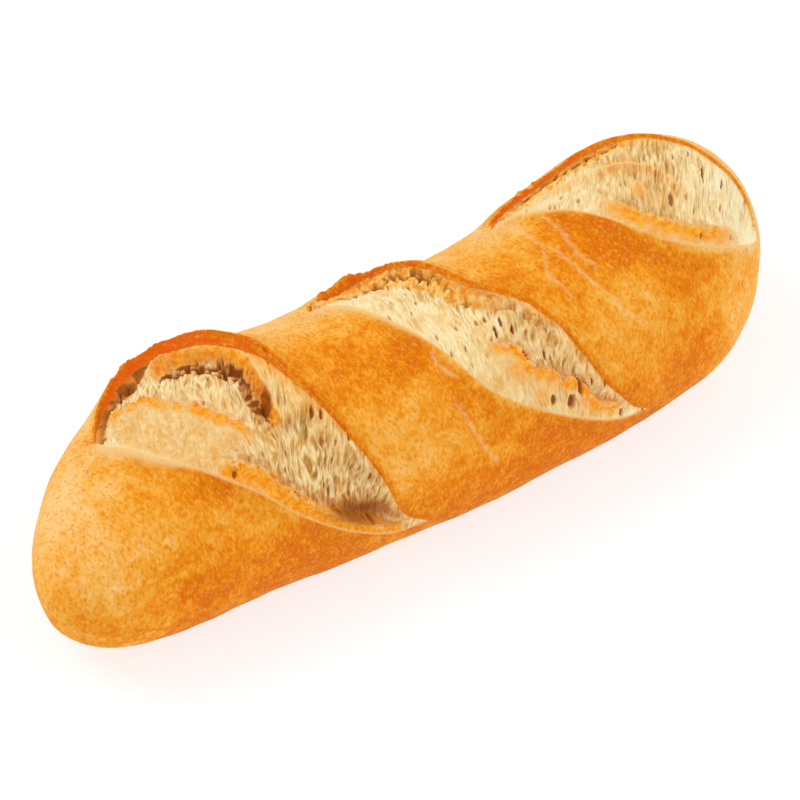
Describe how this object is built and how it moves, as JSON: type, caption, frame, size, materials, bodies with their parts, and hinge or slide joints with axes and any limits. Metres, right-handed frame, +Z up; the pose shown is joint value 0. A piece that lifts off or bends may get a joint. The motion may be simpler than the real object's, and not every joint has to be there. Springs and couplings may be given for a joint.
{
  "type": "mini baguette",
  "caption": "Whole baked mini baguette with long slanting slashes over its top, each opened into torn crumb under a lifted ear of crust, lying on its flat underside.",
  "frame": {"origin": "middle of the loaf's underside, on the surface it lies on", "axes": "+X along the loaf towards its blunt end, +Y away from the side where the slashes come down low, +Z up"},
  "size_m": [0.182, 0.063, 0.0485],
  "materials": {
    "crust": "dry matte baked crust, golden, darker along the lips",
    "crumb": "torn open crumb, cream, dry"
  },
  "bodies": {
    "root": {"loaf": "crust"}
  },
  "joints": []
}
